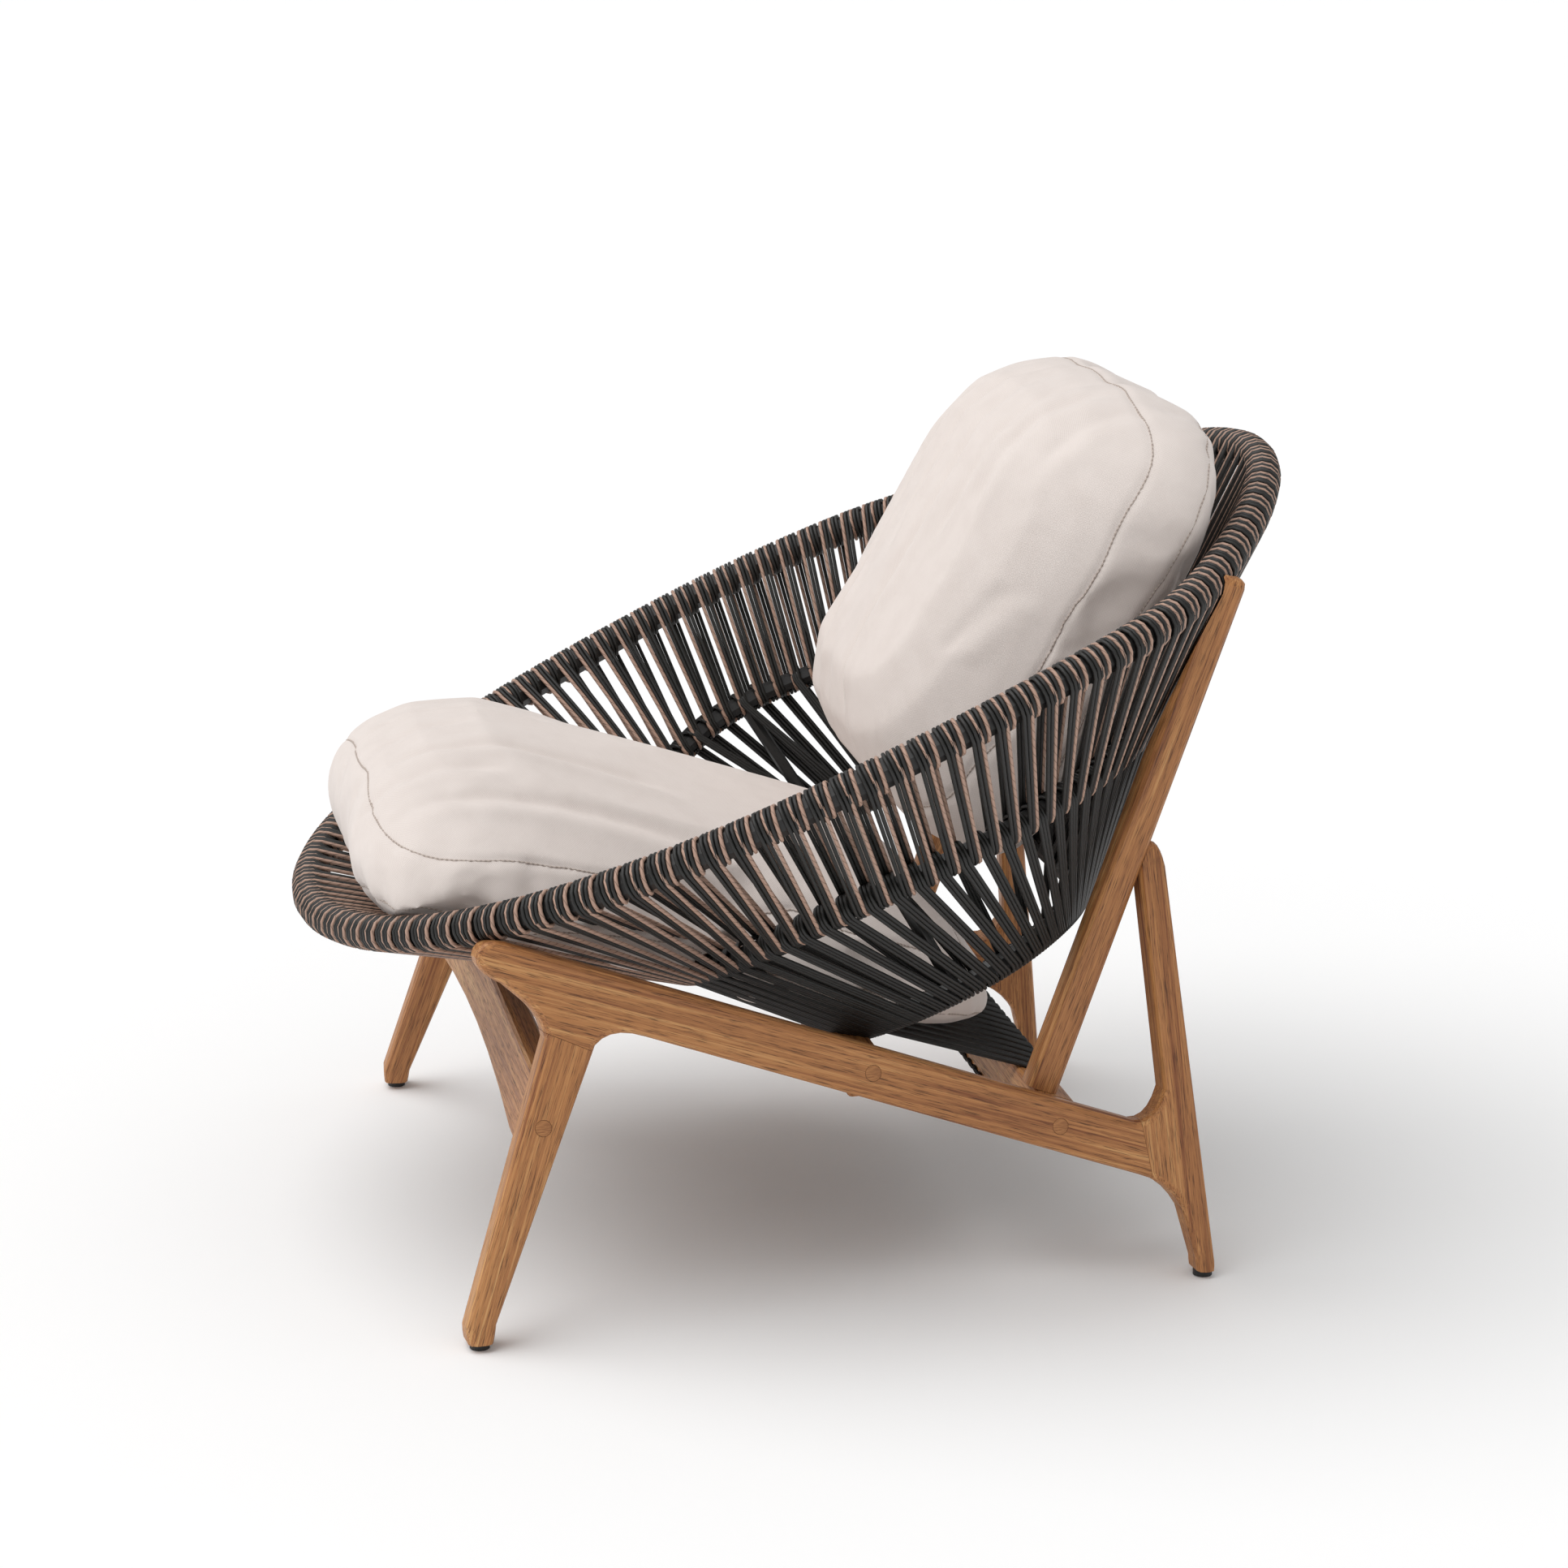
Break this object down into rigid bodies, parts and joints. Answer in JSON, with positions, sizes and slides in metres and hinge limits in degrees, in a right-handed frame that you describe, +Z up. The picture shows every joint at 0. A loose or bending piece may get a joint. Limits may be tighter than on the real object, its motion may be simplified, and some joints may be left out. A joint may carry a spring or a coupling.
{
  "type": "wooden armchair",
  "caption": "Low lounge armchair: sloped teak side frames carry a woven rope tub on black tube hoops, with a thick seat cushion and a reclined back cushion.",
  "frame": {"origin": "on the floor, under the middle of the chair's bounding box", "axes": "+X to the sitter's left, which is the side named left in the nodes, +Y towards the back of the chair, +Z up"},
  "size_m": [0.8058, 0.8774, 0.737],
  "materials": {
    "teak": "oiled teak with open grain",
    "teak_plug": "oiled teak plugs and dowels",
    "black_tube": "black powder coat",
    "rope": "twisted synthetic rope, black with taupe",
    "cushion_fabric": "off-white woven upholstery",
    "glide": "black nylon",
    "zinc_steel": "zinc plated"
  },
  "bodies": {
    "frame": {"side_rail_left": "teak", "front_leg_left": "teak", "rear_leg_left": "teak", "back_post_left": "teak", "plug_front_left": "teak_plug", "bolt_front_left": "zinc_steel", "plug_middle_left": "teak_plug", "bolt_middle_left": "zinc_steel", "plug_rear_left": "teak_plug", "bolt_rear_left": "zinc_steel", "plug_post_top_left": "teak_plug", "bolt_post_top_left": "zinc_steel", "plug_leg_top_left": "teak_plug", "bolt_leg_top_left": "zinc_steel", "dowel_front_leg_left": "teak_plug", "dowel_rear_leg_left": "teak_plug", "glide_front_left": "glide", "glide_rear_left": "glide", "side_rail_right": "teak", "front_leg_right": "teak", "rear_leg_right": "teak", "back_post_right": "teak", "plug_front_right": "teak_plug", "bolt_front_right": "zinc_steel", "plug_middle_right": "teak_plug", "bolt_middle_right": "zinc_steel", "plug_rear_right": "teak_plug", "bolt_rear_right": "zinc_steel", "plug_post_top_right": "teak_plug", "bolt_post_top_right": "zinc_steel", "plug_leg_top_right": "teak_plug", "bolt_leg_top_right": "zinc_steel", "dowel_front_leg_right": "teak_plug", "dowel_rear_leg_right": "teak_plug", "glide_front_right": "glide", "glide_rear_right": "glide", "front_stretcher": "teak", "middle_stretcher": "teak", "rear_stretcher": "teak", "basket_rib_side_left": "black_tube", "basket_rib_back_left": "black_tube", "basket_rib_side_right": "black_tube", "basket_rib_back_right": "black_tube", "rim_hoop": "black_tube", "middle_hoop": "black_tube", "lower_hoop": "black_tube", "woven_wall_front": "rope", "woven_wall_arm_left": "rope", "woven_wall_corner_left": "rope", "woven_wall_back": "rope", "woven_wall_corner_right": "rope", "woven_wall_arm_right": "rope", "lower_wall_left": "rope", "lower_wall_back": "rope", "lower_wall_right": "rope", "woven_seat_deck": "rope"},
    "seat_cushion": {"seat_cushion": "cushion_fabric"},
    "back_cushion": {"back_cushion": "cushion_fabric"}
  },
  "joints": [
    {"name": "seat_cushion_lift", "type": "slide", "parent": "frame", "child": "seat_cushion", "axis": [0, 0, 1], "range_m": [0, 0.2]},
    {"name": "back_cushion_lift", "type": "slide", "parent": "seat_cushion", "child": "back_cushion", "axis": [0, 0, 1], "range_m": [0, 0.25]}
  ]
}
